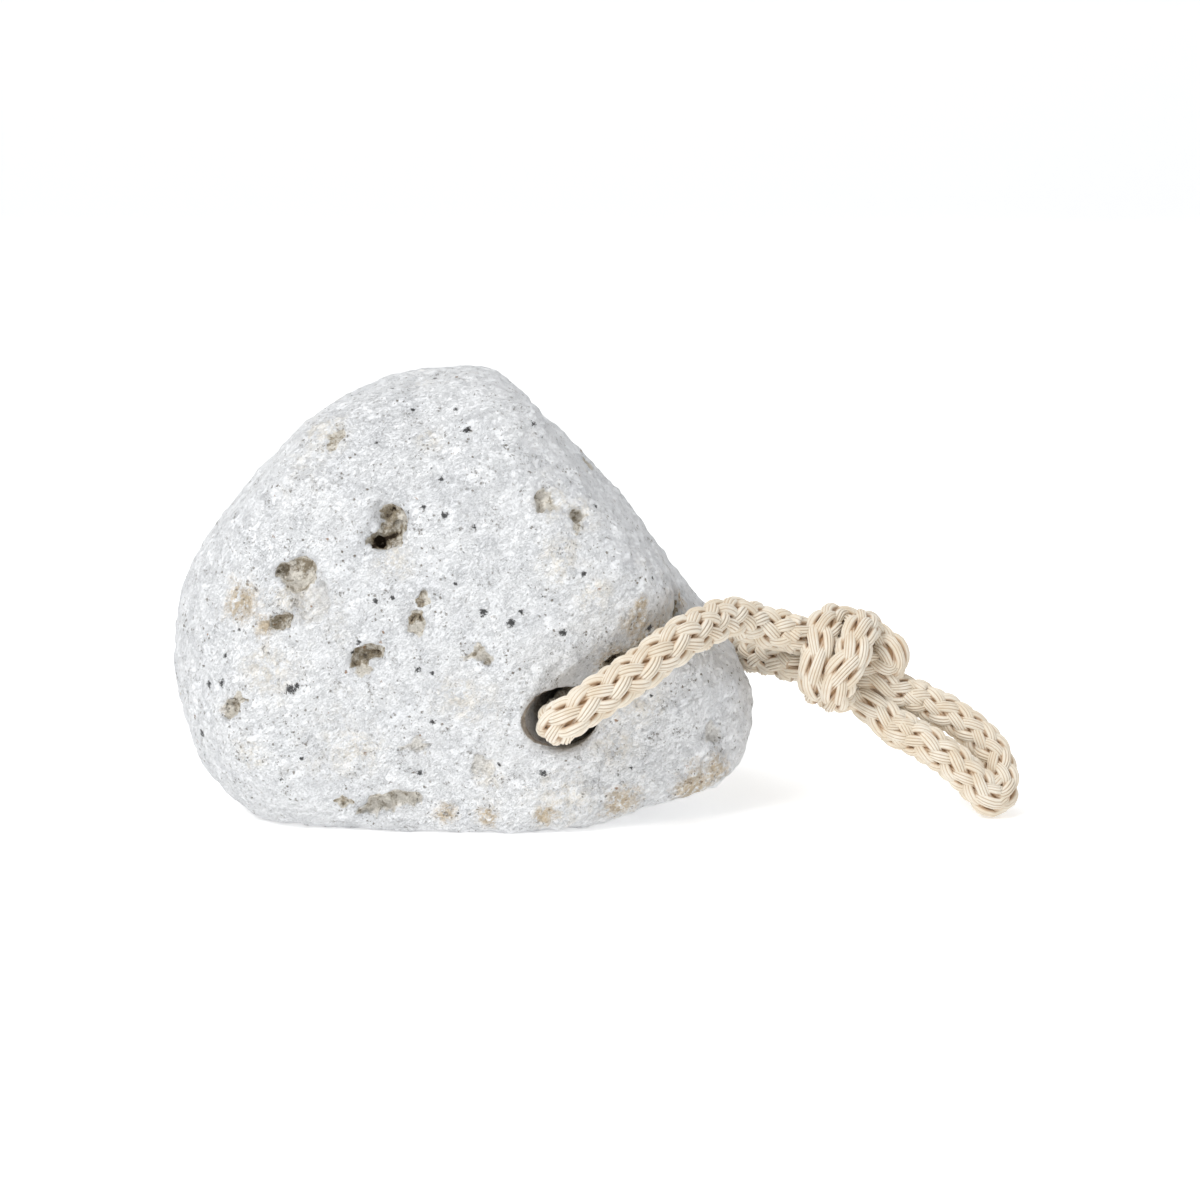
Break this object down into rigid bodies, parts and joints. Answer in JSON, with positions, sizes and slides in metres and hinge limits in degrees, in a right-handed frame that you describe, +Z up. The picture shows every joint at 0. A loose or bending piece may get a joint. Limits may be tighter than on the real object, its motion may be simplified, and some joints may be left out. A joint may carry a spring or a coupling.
{
  "type": "pumice stone",
  "caption": "Natural pumice stone with a drilled hole and a knotted loop of braided cotton cord to hang it by.",
  "frame": {"origin": "centre of the stone's box, on the surface that the stone rests on", "axes": "+X along the stone's longest side, towards the drilled nose and the cord; +Y towards the back; +Z up"},
  "size_m": [0.1277, 0.0598, 0.0676],
  "materials": {
    "pumice": "matt white to pale grey, granular and full of small pores, with brown-grey broken pits and black specks",
    "cotton_cord": "undyed cream cotton, round braid, matt and slightly fuzzy"
  },
  "bodies": {
    "root": {"pumice_stone": "pumice", "cord_through_stone": "cotton_cord", "cord_knot": "cotton_cord", "cord_hanging_loop": "cotton_cord"}
  },
  "joints": []
}
